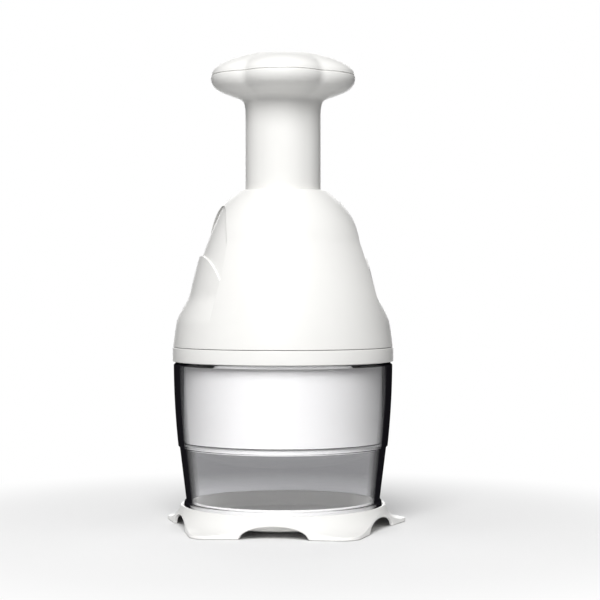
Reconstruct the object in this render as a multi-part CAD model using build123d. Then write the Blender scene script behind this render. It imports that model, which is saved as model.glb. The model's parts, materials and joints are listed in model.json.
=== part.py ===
"""Plunger food chopper: a palm knob drives zigzag blades down through a wiper disc into a clear container.

Millimetres, +Z up, the origin on the table at the centre of the dish. Everything is turned about Z.
Pressing the knob lowers the plunger, the spindle and the blades together. The spindle's twisted bar
slides through a nut in the frame, so that the blades turn while they chop, and the coil spring lifts it all back.
The finger recesses of the bell lie on +X and -X, and one lobe of the dish points along +X.
"""

import os
from math import cos, degrees, hypot, pi, sin

from build123d import *

# Clearances and gaps
RUN = 0.1            # radial clearance of a part that slides or turns in another
REST = 0.3           # gap between faces that come near each other without bearing
SNAP = 0.1           # clearance of a snapped or pushed joint
THREAD = 0.05        # radial clearance between a screw and its hole in plastic

# Chopping dish
floor_height = 5.0           # chopping floor above the table
floor_thickness = 2.0
bowl_wall = 1.8              # wall that stands inside the container's foot
bowl_rise = 4.0              # how far that wall stands above the seat
seat_height = 9.0            # seat of the container above the table
lip_height = 1.6             # lip round the container's foot
lip_wall = 1.5
skirt_wall = 2.0
toe_height = 1.6             # upright edge of a foot
toe_hollow = 2.6             # hollow of the flare below its chord
skirt_bands = 3              # straight bands that make up its curve
lobes = 5                    # lobes of the dish and of the knob
toe_flare = 12.3             # tip of a foot beyond the lip
toe_radius = 10.0            # rounding of that tip, seen from above
side_radius = 420.0          # hollow of the skirt's side between two feet
arch_height = 6.0            # opening under the skirt between two feet
arch_width = 33.0
foot_ring_radius = 30.0      # rib under the floor that carries the blows to the table
foot_ring_wall = 2.0

# Clear container
container_height = 71.9
container_mouth = 54.2       # outer radius at the rim
mouth_draft = 2.3            # upper wall's lean, from the ledge to the rim
base_draft = 3.3             # lower wall's lean, from the foot bead to the collar
container_wall = 2.0
mouth_chamfer = 1.4
ledge_rise = 33.0            # inner ledge above the container's foot
collar_height = 2.8          # foot of the upper wall below the ledge
collar_step = 0.7
bead_height = 3.2            # foot bead
bead_proud = 1.0

# Blade guard and wiper
band_proud = 0.5             # band's outside beyond the container's mouth
band_height = 6.9
band_web = 2.8               # web from the band to the sleeve
sleeve_wall = 2.0
wiper_ring_height = 3.2
wiper_ring_inset = 1.2       # ring's outside within the sleeve's outside
wiper_ring_wall = 1.4        # ring's spigot in the sleeve
wiper_shelf = 1.6
shelf_width = 2.3            # shelf under the disc's edge
wiper_lap = 1.0              # how far the sleeve's rib reaches over the disc
wiper_thickness = 3.0
wiper_stop = 1.2             # height of that rib

# Blades and their holder
blade_thickness = 0.8
blade_margin = 2.9           # blades' ends within the wiper's shelf
blade_near = 7.0             # inner folds from the middle plane
blade_far = 23.0             # outer folds from the middle plane
blade_folds = 8              # corners of the zigzag, both ends included
blade_tuck = 0.6             # edge above the wiper's underside at rest
blade_root = 5.0             # height that is held in the holder
edge_height = 2.5            # ground bevel
edge_thickness = 0.15
slot_clearance = 0.4
holder_rim = 1.1             # holder's outside beyond the blades' ends
holder_thickness = 6.0
holder_hub_radius = 9.0
holder_hub_height = 7.0
turn_per_stroke = 60.0       # degrees that the blades turn in one stroke

# Spindle and nut
bar_side = 8.4               # twisted square bar
bar_clearance = 0.15
tooth_bore = 7.5             # bore of the frame's hub and of its ratchet ring
shank_radius = 4.5           # plain shank above the twist
drive_square = 7.0           # square end in the blade holder
journal_radius = 3.0         # journal in the plunger's boss
nut_height = 6.0
nut_wall = 6.0
tooth_height = 1.2
teeth = 12

# Frame under the bell
frame_gap = 3.0              # from the holder's hub to the frame at rest
arm_thickness = 4.0
arm_width = 8.0
hub_floor = 5.0
hub_wall = 3.4
post_inset = 8.2             # screw posts' axes within the bell's lip
post_radius = 4.0
post_angles = (55, 125, 235, 305)

# Plunger
plunger_radius = 18.7
plunger_wall = 2.0
end_clearance = 4.0          # tube's end above the frame at full stroke
stop_flange = 2.1            # flange's outside beyond the tube
stop_flange_height = 3.0
stop_ring_height = 2.3
knob_clearance = 1.6         # knob's root above the bell at full stroke
root_rise = 18.8             # from the knob's root to its seam
dome_rise = 12.7             # from the seam to the top
knob_radius = 36.1           # over the lobes
knob_lobe_radius = 20.0
knob_valley_radius = 6.0
root_cone_rise = 7.2         # foot of the cone under the knob above the root
root_cone_radius = 27.0      # underside's cone reaches the lobed disc here
knob_disc_rise = 10.2        # lobed disc's underside above the root
knob_lower_round = 4.0       # eased rims
knob_upper_round = 3.2
dome_height = 5.2            # dome above the lobed disc
dome_edge = 28.0             # dome meets the lobed disc here
dome_swell = 1.3             # rise of the dome over its chord
dome_bands = 3
knob_wall = 2.6
knob_lip = 2.0               # cap's lip inside the lower half
knob_lip_wall = 1.2
cap_hollow = 4.5             # hollow above the seam
base_hollow = 5.0            # hollow below the seam
rib_height = 3.0             # ribs on the web
rib_thickness = 2.0
stop_ring_inset = 0.2        # stop ring's outside within the flange
web_rise = 4.0               # web in the tube above the knob's root
web_thickness = 3.0
boss_radius = 6.5
boss_height = 10.0
boss_drop = 4.0              # boss below the web

# Spring
spring_radius = 9.4          # to the middle of the wire
wire_size = 1.4
spring_turns = 6.5
seat_flange = 1.5
seat_collar = 2.0            # collar that centres the spring

# Bell
bell_height = 77.0
bell_setback = 0.3           # bell's foot within the band's outside
bell_shoulder = 40.4         # radius at the shoulder
shoulder_drop = 25.6         # shoulder below the top
bell_crown = 24.0            # radius under the rounded rim
crown_drop = 1.6
side_bulge = 2.2             # rise of the side above its chord
side_bands = 4               # straight bands that make up the side
shoulder_bulge = 2.0         # the same from the shoulder to the crown
shoulder_bands = 3
bell_wall = 2.3
neck_wall = 2.3
roof_drop = 8.0              # space under the bell ends here below the top
post_height = 22.0           # screw posts above the frame's arms
lip_step = 2.4               # bell's lip within its foot
lip_thickness = 1.8

# Finger recesses
recess_top_drop = 8.4        # arch's top below the bell's top
recess_height = 50.0
recess_half_width = 30.5     # at the foot of the arch
recess_top_radius = 30.0     # sloping floor from the axis, at the arch's top
ramp_depth = 7.9             # the same where its ramp starts, within the bell's foot
ramp_rise = 5.4              # start of the ramp above the foot of the arch
ramp_slope = 0.62            # ramp's way out for each millimetre down
pad_height = 26.0            # raised pad above the foot of the arch
pad_half_width = 29.2
pad_step = 2.1               # pad above the sloping floor, at the pad's top

# Screws
frame_screw_radius = 1.5
frame_screw_length = 12.0
frame_head_radius = 3.0
frame_head_height = 1.8
holder_screw_radius = 2.0
holder_screw_length = 10.0
holder_head_radius = 3.8
holder_head_height = 2.2
washer_thickness = 1.0

# Heights that follow
lip_top = seat_height + lip_height
bowl_top = seat_height + bowl_rise
ledge_z = seat_height + ledge_rise
rim_z = seat_height + container_height
band_z = rim_z + REST
web_top = band_z + band_web
band_top = band_z + band_height
bell_z = band_top + REST
bell_top = bell_z + bell_height
shelf_z = ledge_z - wiper_ring_height + wiper_shelf
wiper_z = shelf_z + REST
wiper_top = wiper_z + wiper_thickness
stop_z = wiper_top + REST
blade_z = wiper_z + blade_tuck
stroke = blade_z - floor_height - REST
holder_z = wiper_top + REST + stroke
holder_top = holder_z + holder_thickness
hub_top_z = holder_top + holder_hub_height
frame_z = hub_top_z + frame_gap
arm_top = frame_z + arm_thickness
post_top = arm_top + post_height
nut_floor = frame_z + hub_floor
nut_top = nut_floor + nut_height
nut_roof = nut_top + tooth_height
frame_top = nut_roof + 2 * washer_thickness
spring_z = frame_top + seat_flange
tube_z = arm_top + end_clearance + stroke
flange_top = tube_z + stop_flange_height
ring_top = flange_top + stop_ring_height
neck_z = ring_top + REST
root_z = bell_top + stroke + knob_clearance
seam_z = root_z + root_rise
knob_top = seam_z + dome_rise
knob_low_z = root_z + knob_disc_rise
knob_high_z = knob_top - dome_height
web_z = root_z + web_rise
boss_z = web_z - boss_drop
boss_top = boss_z + boss_height
washer_z = boss_z - RUN - washer_thickness
shoulder_z = washer_z - RUN
shank_z = nut_top + stroke + 2 * washer_thickness
twist_z = nut_floor - washer_thickness
hanger_z = boss_top + RUN

recess_z = bell_top - recess_top_drop - recess_height
ramp_z = recess_z + ramp_rise
pad_z = recess_z + pad_height

# Radii that follow
sleeve_radius = container_mouth - container_wall - mouth_draft - REST
container_waist = sleeve_radius + REST + container_wall
container_base = container_waist - collar_step - base_draft
ledge_radius = sleeve_radius - wiper_ring_inset + REST
foot_inside = container_base - container_wall
bowl_outside = foot_inside - REST
bowl_inside = bowl_outside - bowl_wall
bead_radius = container_base + bead_proud
lip_inside = bead_radius + REST
lip_outside = lip_inside + lip_wall
toe_reach = lip_outside + toe_flare
ring_radius = sleeve_radius - wiper_ring_inset
sleeve_bore = sleeve_radius - sleeve_wall
wiper_bore = sleeve_bore - SNAP - wiper_ring_wall
wiper_radius = wiper_bore - REST
shelf_bore = wiper_radius - shelf_width
blade_circle = shelf_bore - blade_margin
blade_half_span = (blade_circle ** 2 - blade_far ** 2) ** 0.5
holder_radius = blade_circle + holder_rim
band_radius = container_mouth + band_proud
bell_base = band_radius - bell_setback
lip_radius = bell_base - lip_step
ramp_radius = bell_base - ramp_depth
floor_slope = (ramp_radius - recess_top_radius) / (recess_height - ramp_rise)
pad_radius = ramp_radius - floor_slope * (pad_z - ramp_z) + pad_step
pad_slope = (ramp_radius - pad_radius) / (pad_z - ramp_z)
post_circle = lip_radius - lip_thickness - post_inset
nut_radius = bar_side / 2 + nut_wall
nut_pocket = nut_radius + SNAP
hub_radius = nut_pocket + hub_wall
neck_bore = plunger_radius + RUN
neck_radius = neck_bore + neck_wall
flange_radius = plunger_radius + stop_flange


def turned(*points):
    """Ring or disc turned about Z from (radius, height) corners."""
    return revolve(Plane.XZ * make_face(Polyline(*points, close=True)), Axis.Z)


def tube(outside, inside, low, high):
    """Plain tube about Z."""
    return turned((inside, low), (outside, low), (outside, high), (inside, high))


def rod(radius, low, high):
    """Plain round bar about Z."""
    return turned((0, low), (radius, low), (radius, high), (0, high))


def bowed(start, end, rise, count):
    """Points in even steps from start to end on a shallow bow that rises to the right of its chord."""
    run, climb = end[0] - start[0], end[1] - start[1]
    across, up = climb / hypot(run, climb), -run / hypot(run, climb)
    steps = [i / count for i in range(count + 1)]
    return [(start[0] + run * t + 4 * rise * t * (1 - t) * across,
             start[1] + climb * t + 4 * rise * t * (1 - t) * up) for t in steps]


def around(shape, angles):
    """Copies of a shape, turned about Z."""
    return [Rot(Z=angle) * shape for angle in angles]


def scalloped(count, tip, lobe_radius, valley_radius, z, inset=0.0):
    """Outline at height z of lobe arcs joined by tangent hollow arcs, drawn in by inset."""
    half = pi / count
    lobe_centre = tip - lobe_radius
    joined = lobe_radius + valley_radius
    hollow_centre = lobe_centre * cos(half) + (joined ** 2 - (lobe_centre * sin(half)) ** 2) ** 0.5
    share = (lobe_radius - inset) / joined
    touch_x = lobe_centre + share * (hollow_centre * cos(half) - lobe_centre)
    touch_y = share * hollow_centre * sin(half)
    hollow = hollow_centre - valley_radius - inset
    before, after = Vector(touch_x, -touch_y, z), Vector(touch_x, touch_y, z)
    lobe = ThreePointArc(before, Vector(tip - inset, 0, z), after)
    middle = Vector(hollow * cos(half), hollow * sin(half), z)
    valley = ThreePointArc(after, middle, before.rotate(Axis.Z, degrees(2 * half)))
    turns = [360 / count * i for i in range(count)]
    return make_face(around(lobe, turns) + around(valley, turns))


# --- chopping dish ---

def foot_outline(inset=0.0):
    """The skirt's outline on the table: rounded feet with slightly hollow sides between them."""
    return scalloped(lobes, toe_reach, toe_radius, side_radius, 0, inset)


def flare(inset):
    """Solid under the skirt's hollow curve, from the lip down to the feet."""
    top = (lip_outside - inset, lip_top - inset)
    toe = (toe_reach, toe_height - inset)
    curve = bowed(toe, top, -toe_hollow, skirt_bands)
    return turned(*curve, (0, lip_top - inset), (0, -inset), (toe_reach, -inset))


def skirt():
    """Flared skirt, open below, with an arch between each two feet."""
    roof = seat_height - skirt_wall
    outer = flare(0) & extrude(foot_outline(), lip_top)
    inner = flare(skirt_wall) & extrude(foot_outline(skirt_wall), roof)
    arch = Plane.YZ.offset(lip_inside) * Ellipse(arch_width / 2, arch_height)
    cuts = around(extrude(arch, toe_reach), [360 / lobes * (i + 0.5) for i in range(lobes)])
    return outer - inner - rod(lip_inside, roof, lip_top) - cuts


def chopping_dish():
    """Floor, bowl wall, seat and lip for the container, skirt and foot ring, in one moulding."""
    under = floor_height - floor_thickness
    seat_under = seat_height - skirt_wall
    bowl = turned(
        (0, under), (bowl_outside, under), (bowl_outside, seat_under), (lip_outside, seat_under),
        (lip_outside, lip_top), (lip_inside, lip_top), (lip_inside, seat_height), (bowl_outside, seat_height),
        (bowl_outside, bowl_top), (bowl_inside, bowl_top), (bowl_inside, floor_height), (0, floor_height),
    )
    foot = tube(foot_ring_radius, foot_ring_radius - foot_ring_wall, 0, under)
    return bowl + skirt() + foot


# --- clear container ---

def clear_container():
    """Clear wall with a foot bead, a collar round the inner ledge and a chamfered mouth."""
    bead_top = seat_height + bead_height
    collar_z = ledge_z - collar_height
    mouth_inside = container_mouth - container_wall
    return turned(
        (foot_inside, seat_height), (bead_radius, seat_height), (bead_radius, bead_top), (container_base, bead_top),
        (container_waist - collar_step, collar_z), (container_waist, collar_z),
        (container_mouth, rim_z - mouth_chamfer), (container_mouth - mouth_chamfer, rim_z), (mouth_inside, rim_z),
        (sleeve_radius + REST, ledge_z), (ledge_radius, ledge_z),
    )


# --- blade guard and wiper ---

def blade_guard():
    """Band under the bell with the sleeve round the blades; a rib inside its end stops the wiper disc."""
    socket = lip_radius + SNAP
    rib_bore = wiper_radius - wiper_lap
    return turned(
        (sleeve_bore, ledge_z), (sleeve_radius, ledge_z), (sleeve_radius, band_z), (band_radius, band_z),
        (band_radius, band_top), (socket, band_top), (socket, web_top), (sleeve_bore, web_top),
        (sleeve_bore, stop_z + wiper_stop), (rib_bore, stop_z + wiper_stop), (rib_bore, stop_z),
        (sleeve_bore, stop_z),
    )


def wiper_ring():
    """Ring pushed into the sleeve's end; the wiper disc turns on its shelf."""
    spigot = sleeve_bore - SNAP
    under = ledge_z - wiper_ring_height
    return turned(
        (shelf_bore, under), (ring_radius, under), (ring_radius, ledge_z), (spigot, ledge_z),
        (spigot, stop_z - REST), (wiper_bore, stop_z - REST), (wiper_bore, shelf_z), (shelf_bore, shelf_z),
    )


def zigzag(thickness, low, high, longer=0.0):
    """Zigzag strip along X on the +Y side, of even thickness, between two heights."""
    leg = 2 * blade_half_span / (blade_folds - 1)
    slope = (blade_far - blade_near) / leg
    rise = thickness / 2 * hypot(1, slope)
    corners = []
    for i in range(blade_folds):
        corners.append((leg * i - blade_half_span, blade_far if i % 2 else blade_near))
    first, last = corners[0], corners[-1]
    corners[0] = (first[0] - longer, first[1] - slope * longer)
    corners[-1] = (last[0] + longer, last[1] + slope * longer)
    front = [(x, y + rise) for x, y in corners]
    back = [(x, y - rise) for x, y in reversed(corners)]
    return extrude(Plane.XY.offset(low) * make_face(Polyline(*front, *back, close=True)), high - low)


def wiper_disc():
    """Disc with a zigzag slot for each blade."""
    slot = zigzag(blade_thickness + 2 * slot_clearance, wiper_z, wiper_top, slot_clearance)
    return rod(wiper_radius, wiper_z, wiper_top) - around(slot, (0, 180))


# --- blades ---

def blade():
    """Zigzag blade on the +Y side, ground thin along its lower edge."""
    grind_z = blade_z + edge_height
    body = zigzag(blade_thickness, grind_z, holder_z + blade_root)
    wide = body.faces().sort_by(Axis.Z)[0]
    thin = zigzag(edge_thickness, blade_z, grind_z).faces().sort_by(Axis.Z)[0]
    return body + loft([thin, wide], ruled=True)


def blade_holder():
    """Disc that holds both blades in zigzag grooves, with a square socket for the spindle."""
    grooves = around(zigzag(blade_thickness, holder_z, holder_z + blade_root), (0, 180))
    side = drive_square + 2 * SNAP
    socket = extrude(Plane.XY.offset(holder_top) * Rectangle(side, side), holder_hub_height)
    hole = rod(holder_screw_radius + THREAD, holder_z, holder_top)
    sunk = rod(holder_head_radius + REST, holder_z, holder_z + holder_head_height + REST)
    disc = rod(holder_radius, holder_z, holder_top) + rod(holder_hub_radius, holder_top, hub_top_z)
    return disc - grooves - socket - hole - sunk


def screw(radius, length, head_radius, head_height):
    """Screw pointing up from its head's upper face at z = 0, with a hexagon socket below."""
    head = rod(head_radius, -head_height, 0)
    socket = extrude(Plane.XY.offset(-head_height) * RegularPolygon(head_radius * 0.5, 6), head_height / 2)
    return head + rod(radius, 0, length) - socket


def holder_screw():
    """Screw from below the blade holder up into the spindle."""
    seat = holder_z + holder_head_height + REST
    return Pos(Z=seat) * screw(holder_screw_radius, holder_screw_length, holder_head_radius, holder_head_height)


# --- spindle and nut ---

def twisted_bar(extra, low, high):
    """Twisted square bar between two heights, larger all round by extra."""
    twist = turn_per_stroke / stroke
    side = bar_side + 2 * extra
    start = (Pos(Z=low) * Rot(Z=twist * (low - twist_z)) * Rectangle(side, side)).face()
    return Solid.extrude_linear_with_rotation(start, (0, 0, low), (0, 0, high - low), twist * (high - low))


def drive_spindle():
    """Square end, twisted bar, plain shank and a journal for the plunger's boss."""
    square = extrude(Plane.XY.offset(holder_top) * Rectangle(drive_square, drive_square), holder_hub_height)
    plain = turned(
        (0, shank_z), (shank_radius, shank_z), (shank_radius, shoulder_z), (journal_radius, shoulder_z),
        (journal_radius, hanger_z), (0, hanger_z),
    )
    seat = holder_z + holder_head_height + REST
    low_hole = rod(holder_screw_radius + THREAD, holder_top, seat + holder_screw_length + REST)
    top_hole = rod(frame_screw_radius + THREAD, hanger_z - frame_screw_length, hanger_z)
    bar = rod(bar_side / 2, hub_top_z, twist_z) + twisted_bar(0, twist_z, shank_z)
    return square + bar + plain - low_hole - top_hole


def ratchet_tooth(clearance=0.0):
    """One tooth of the ring in the hub's floor, standing on +X: a ramp with one upright side."""
    width = 2 * pi * tooth_bore / teeth
    run = width / tooth_height * clearance
    low = (-width / 2 - run, nut_floor - clearance)
    foot = (width / 2 + clearance, nut_floor - clearance)
    crest = (width / 2 + clearance, nut_floor + tooth_height + clearance)
    side = Plane.YZ.offset(tooth_bore - clearance) * make_face(Polyline(low, foot, crest, close=True))
    return extrude(side, nut_pocket - tooth_bore + 2 * clearance)


def drive_nut():
    """Nut with the spindle's twisted bar cut in its bore and ratchet teeth in its underside."""
    blank = rod(nut_radius, nut_floor + RUN, nut_top)
    turns = [360 / teeth * i for i in range(teeth)]
    bore = twisted_bar(bar_clearance, nut_floor - 1, nut_top + 1)
    return blank - bore - around(ratchet_tooth(RUN), turns)


# --- frame under the bell ---

def mechanism_frame():
    """Hub with the nut's pocket and ratchet ring, on four arms that are screwed to the bell's posts."""
    hub = turned(
        (tooth_bore, frame_z), (hub_radius, frame_z), (hub_radius, frame_top), (nut_pocket, frame_top),
        (nut_pocket, nut_floor), (tooth_bore, nut_floor),
    )
    length = post_circle - hub_radius + hub_wall
    arm = Pos(hub_radius - hub_wall + length / 2, 0, frame_z + arm_thickness / 2) * Box(length, arm_width, arm_thickness)
    pad = Pos(X=post_circle) * rod(post_radius + hub_wall / 2, frame_z, arm_top)
    hole = Pos(X=post_circle) * rod(frame_screw_radius + RUN, frame_z, arm_top)
    ring = around(ratchet_tooth(), [360 / teeth * i for i in range(teeth)])
    return hub + around(arm + pad, post_angles) - around(hole, post_angles) + ring


def frame_screws():
    """The four screws from below the frame into the bell's posts."""
    one = Pos(post_circle, 0, frame_z) * screw(
        frame_screw_radius, frame_screw_length, frame_head_radius, frame_head_height)
    return Compound(children=around(one, post_angles))


def spring_seat():
    """Flanged ring on the hub that carries the spring and keeps the nut in its pocket."""
    collar = spring_radius - wire_size / 2 - REST
    return turned(
        (tooth_bore, nut_roof), (nut_radius, nut_roof), (nut_radius, frame_top), (hub_radius, frame_top),
        (hub_radius, spring_z), (collar, spring_z), (collar, spring_z + seat_collar),
        (tooth_bore, spring_z + seat_collar),
    )


# --- plunger and knob ---

def knob_outline(z, inset=0.0):
    """Outline of the palm knob at height z; one lobe points along -X."""
    return Rot(Z=180) * scalloped(lobes, knob_radius, knob_lobe_radius, knob_valley_radius, z, inset)


def knob_blank():
    """Outside of the knob before it is split at the seam: lobed disc, shallow dome and root cone."""
    disc = extrude(knob_outline(knob_low_z), knob_high_z - knob_low_z)
    disc = chamfer(disc.faces().sort_by(Axis.Z)[-1].edges(), knob_upper_round)
    disc = chamfer(disc.faces().sort_by(Axis.Z)[0].edges(), knob_lower_round)
    curve = bowed((dome_edge, knob_high_z), (0, knob_top), dome_swell, dome_bands)
    dome = turned(*curve, (0, knob_high_z))
    root = (plunger_radius, root_z)
    rim = (root_cone_radius, knob_low_z)
    cone = turned(root, (plunger_radius, root_z + root_cone_rise), rim, (0, knob_low_z), (0, root_z))
    return disc + dome + cone


def knob_cap():
    """Upper half of the knob with a lip that snaps into the lower half."""
    lip_gap = knob_wall + SNAP
    lip_z = seam_z - knob_lip
    above = extrude(knob_outline(seam_z), knob_top - seam_z)
    lip = extrude(knob_outline(lip_z, lip_gap), knob_lip)
    hollow = extrude(knob_outline(lip_z, lip_gap + knob_lip_wall), knob_lip + cap_hollow)
    return (knob_blank() & above) + lip - hollow


def plunger_tube():
    """Tube with a stop flange below and the lower half of the knob above; the boss carries the spindle."""
    bore = plunger_radius - plunger_wall
    web_roof = web_z + web_thickness
    floor_z = seam_z - base_hollow
    foot = tube(flange_radius, bore, tube_z, flange_top)
    body = rod(plunger_radius, tube_z, root_z) + (knob_blank() & rod(knob_radius + 1, root_z, seam_z))
    hollow = extrude(knob_outline(floor_z, knob_wall), base_hollow)
    boss = rod(boss_radius, boss_z, boss_top)
    rib = Pos(bore / 2, 0, web_roof + rib_height / 2) * Box(bore + 1, rib_thickness, rib_height)
    ribs = around(rib, [60 * i for i in range(6)])
    shell = body - rod(bore, tube_z, web_z) - rod(bore, web_roof, floor_z) - hollow
    return shell + foot + boss + ribs - rod(journal_radius + RUN, boss_z, boss_top)


def stop_ring():
    """Soft ring on the tube that meets the bell's neck at the top of the stroke."""
    return tube(flange_radius - stop_ring_inset, plunger_radius + SNAP, flange_top, ring_top)


def return_spring():
    """Coil spring between the frame's hub and the plunger's web."""
    low = spring_z + wire_size / 2 + RUN
    height = web_z - RUN - wire_size / 2 - low
    path = Pos(Z=low) * Helix(height / spring_turns, height, spring_radius)
    section = Plane(path @ 0, x_dir=(1, 0, 0), z_dir=path % 0) * RegularPolygon(wire_size / 2, 6)
    return sweep(section, path, is_frenet=True)


def thrust_washer():
    """Washer that carries the plunger's push onto the spindle's shoulder."""
    return tube(shank_radius + 1, journal_radius + RUN, washer_z, washer_z + washer_thickness)


def hanger_washer():
    """Washer on the spindle's end that hangs it from the plunger's boss."""
    return tube(boss_radius - 1, frame_screw_radius + RUN, hanger_z, hanger_z + washer_thickness)


def spindle_screw():
    """Screw through the hanger washer down into the spindle."""
    head_z = hanger_z + washer_thickness
    return Pos(Z=head_z) * Rot(X=180) * screw(
        frame_screw_radius, frame_screw_length - 2, frame_head_radius, frame_head_height)


# --- bell ---

def bell_blank():
    """Outside of the bell with its lip below, as a solid of revolution."""
    base = (bell_base, bell_z)
    shoulder = (bell_shoulder, bell_top - shoulder_drop)
    crown = (bell_crown, bell_top - crown_drop)
    side = bowed(base, shoulder, side_bulge, side_bands)
    upper = bowed(shoulder, crown, shoulder_bulge, shoulder_bands)
    return turned(
        *side, *upper[1:], (bell_crown - crown_drop, bell_top), (0, bell_top), (0, web_top),
        (lip_radius, web_top), (lip_radius, bell_z),
    )


def bell_inside(wall):
    """Space under the bell's wall, in a few straight steps."""
    middle_z = (bell_z + bell_top - shoulder_drop) / 2
    middle = (bell_base + bell_shoulder) / 2 + side_bulge
    return turned(
        (0, web_top), (lip_radius - lip_thickness, web_top), (lip_radius - lip_thickness, bell_z + bell_wall),
        (middle - wall, middle_z), (bell_shoulder - wall, bell_top - shoulder_drop),
        (bell_crown, bell_top - roof_drop), (0, bell_top - roof_drop),
    )


def arch_prism(half_width, height, foot):
    """Upright half ellipse on the recess's foot line with a straight foot, extruded to both sides along X."""
    upper = Pos(0, recess_z + height / 2) * Rectangle(2 * half_width, height)
    outline = Pos(0, recess_z) * Ellipse(half_width, height) & upper
    if foot:
        outline += Pos(0, recess_z - foot / 2) * Rectangle(2 * half_width, foot)
    return extrude(Plane.YZ * outline, bell_base, both=True)


def recess_floor(slope, inset):
    """Cone that slopes out to the ramp, and the ramp that runs out through the bell's side."""
    return turned(
        (0, bell_z), (ramp_radius + ramp_slope * (ramp_z - bell_z) - inset, bell_z), (ramp_radius - inset, ramp_z),
        (ramp_radius - slope * (bell_top - ramp_z) - inset, bell_top), (0, bell_top),
    )


def bell_housing():
    """Bell with a neck for the plunger, two finger recesses and four screw posts for the frame."""
    blank = bell_blank()
    bell = blank - bell_inside(bell_wall)
    backing = arch_prism(recess_half_width + bell_wall, recess_height + bell_wall, 0)
    backing -= recess_floor(floor_slope, bell_wall)
    scoop = arch_prism(recess_half_width, recess_height, ramp_rise) - recess_floor(pad_slope, 0)
    crescent = arch_prism(recess_half_width, recess_height, 0) - arch_prism(pad_half_width, pad_height, 0)
    post = Pos(X=post_circle) * rod(post_radius, arm_top, post_top)
    rib = Pos(post_circle + post_radius, 0, (arm_top + post_top) / 2) * Box(
        2 * post_radius, rib_thickness, post_top - arm_top)
    pilot = Pos(X=post_circle) * rod(frame_screw_radius + THREAD, arm_top, arm_top + frame_screw_length)
    posts = around((post + rib) & bell_inside(bell_wall / 2), post_angles)
    bell = bell + (backing & blank) + tube(neck_radius, neck_bore, neck_z, bell_top - roof_drop) + posts
    bell = bell - scoop - (crescent - recess_floor(floor_slope, 0))
    return bell - rod(neck_bore, neck_z, bell_top) - around(pilot, post_angles)


# --- export ---

PIECES = (
    chopping_dish, clear_container, blade_guard, wiper_ring, wiper_disc, blade_holder, holder_screw,
    drive_spindle, drive_nut, mechanism_frame, frame_screws, spring_seat, knob_cap, plunger_tube, stop_ring,
    return_spring, thrust_washer, hanger_washer, spindle_screw, bell_housing,
)

os.makedirs("parts", exist_ok=True)
for piece in PIECES:
    export_step(piece(), f"parts/{piece.__name__}.step")
export_step(Rot(Z=180) * blade(), "parts/front_blade.step")
export_step(blade(), "parts/rear_blade.step")
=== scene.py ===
# %% [markdown]
# # A plunger food chopper, dressed for its picture
#
# The chopper is already built as a mechanism, and the script brings in every CAD piece from model.glb.
# What is left is its looks. A moulded kitchen tool is mostly one thing repeated: a smooth
# skin of white plastic whose edges are all a little soft. The CAD pieces have the right sizes but coarse
# skins, so the large visible ones are made again here as fine meshes over the same sizes, and the small
# inner ones keep their CAD form and only get a finish.

import json
from math import atan2, cos, hypot, pi, radians, sin, sqrt

import bmesh
import bpy
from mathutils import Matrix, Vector


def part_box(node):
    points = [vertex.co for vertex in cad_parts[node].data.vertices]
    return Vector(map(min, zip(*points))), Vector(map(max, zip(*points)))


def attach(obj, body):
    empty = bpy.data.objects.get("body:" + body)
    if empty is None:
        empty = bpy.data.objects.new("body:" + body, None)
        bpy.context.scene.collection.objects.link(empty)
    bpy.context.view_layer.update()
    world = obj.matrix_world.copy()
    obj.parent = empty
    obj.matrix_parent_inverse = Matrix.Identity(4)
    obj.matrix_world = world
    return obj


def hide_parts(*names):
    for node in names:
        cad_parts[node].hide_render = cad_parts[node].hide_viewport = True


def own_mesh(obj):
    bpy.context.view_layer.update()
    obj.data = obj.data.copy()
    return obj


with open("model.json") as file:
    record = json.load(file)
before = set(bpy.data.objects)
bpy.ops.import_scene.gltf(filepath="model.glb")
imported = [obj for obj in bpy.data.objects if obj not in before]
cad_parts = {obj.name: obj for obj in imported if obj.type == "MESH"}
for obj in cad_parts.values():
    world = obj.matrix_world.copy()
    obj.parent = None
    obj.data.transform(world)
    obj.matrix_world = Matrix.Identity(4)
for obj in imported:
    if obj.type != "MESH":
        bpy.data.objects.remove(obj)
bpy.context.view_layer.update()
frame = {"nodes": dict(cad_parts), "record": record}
nodes = frame["nodes"]
MM = 0.001
GAP = 0.3
SHARP_ANGLE = radians(38)

# %% [markdown]
# ## Sizes read from the CAD pieces
#
# A maker who dresses a model never types a height twice. Each level below is read from the box of a CAD
# piece, so that the new skins start and stop where the real joints are. Radii come from the same boxes,
# as half of a piece's width along Y. Where two mouldings meet they leave the small gap that was named
# above, in millimetres like every size below.


# %% Levels and radii
def low_z(node):
    """Height of a CAD piece's lowest point, in millimetres."""
    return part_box(node)[0].z / MM


def high_z(node):
    """Height of a CAD piece's highest point, in millimetres."""
    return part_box(node)[1].z / MM


def outer_radius(node):
    """Half of a round CAD piece's width, in millimetres."""
    low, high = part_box(node)
    return (high.y - low.y) / 2 / MM


knob_top = high_z("knob_cap")
seam_z = high_z("plunger_tube")
tube_z = low_z("plunger_tube")
bell_lip_z = low_z("bell_housing")
bell_top = high_z("bell_housing")
band_top = high_z("blade_guard")
bell_z = band_top + GAP
container_z = low_z("clear_container")
rim_z = high_z("clear_container")
ring_z = low_z("wiper_ring")
print("seam of the knob at", round(seam_z, 1), "bell from", round(bell_z, 1), "to", round(bell_top, 1))

# %% [markdown]
# ## Turning a profile
#
# Nearly every moulded piece here is turned: one outline of radius and height, spun about the plunger's
# axis. Blender's Screw modifier can do that, but a few pieces are lobed, so their outline changes as it
# goes round. Writing the rings by hand costs a dozen lines and serves both kinds. An outline is a closed
# loop of corners. Each corner carries its own rounding, because a mould never leaves a knife edge, and
# a rounding is what catches the light along a rim.


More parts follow.
